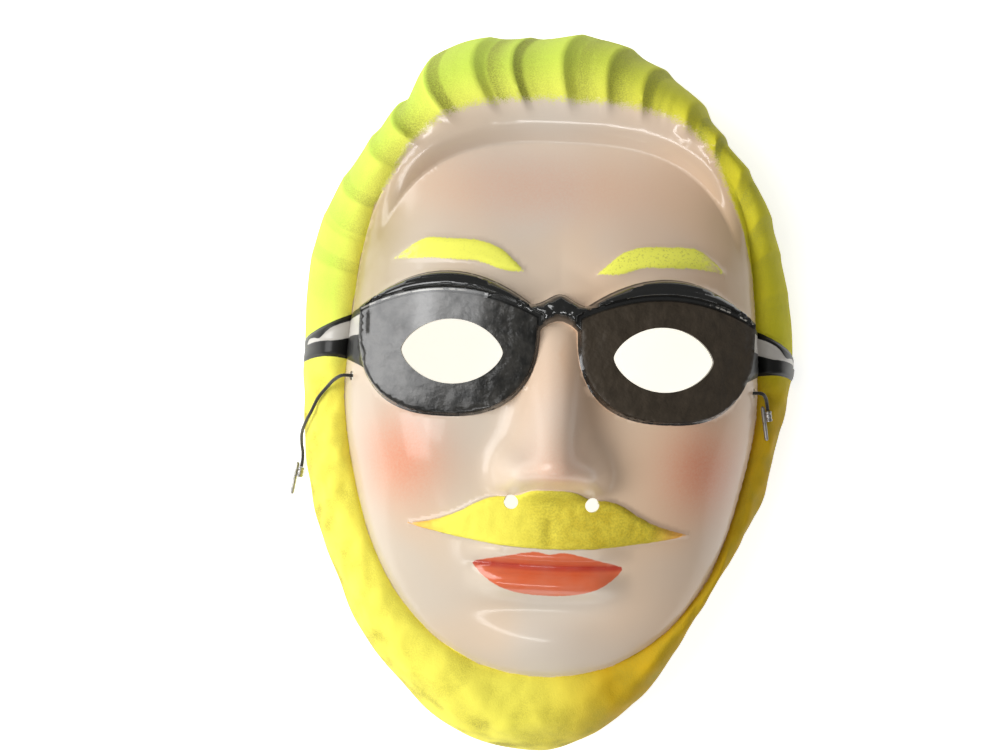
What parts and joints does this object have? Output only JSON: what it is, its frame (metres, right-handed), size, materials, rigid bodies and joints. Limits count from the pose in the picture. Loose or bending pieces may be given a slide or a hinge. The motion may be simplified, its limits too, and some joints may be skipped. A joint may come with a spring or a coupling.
{
  "type": "plastic face mask",
  "caption": "Thin vacuum-formed face mask with moulded hair, beard and glasses, open behind, with a black elastic cord through its sides.",
  "frame": {"origin": "middle of the bounding box at the plane of the rim, on which the mask lies", "axes": "+Z out through the nose, +Y from the beard to the top of the hair, +X to a viewer's right; the cord and its barbs are left out of the box"},
  "size_m": [0.1795, 0.2553, 0.081],
  "materials": {
    "painted_plastic": "glossy sheet with sprayed matt colour",
    "black_elastic": "braided, matt",
    "plated_steel": "plated, satin"
  },
  "bodies": {
    "root": {"mask_shell": "painted_plastic", "elastic_cord": "black_elastic", "right_cord_barb": "plated_steel", "left_cord_barb": "plated_steel"}
  },
  "joints": []
}
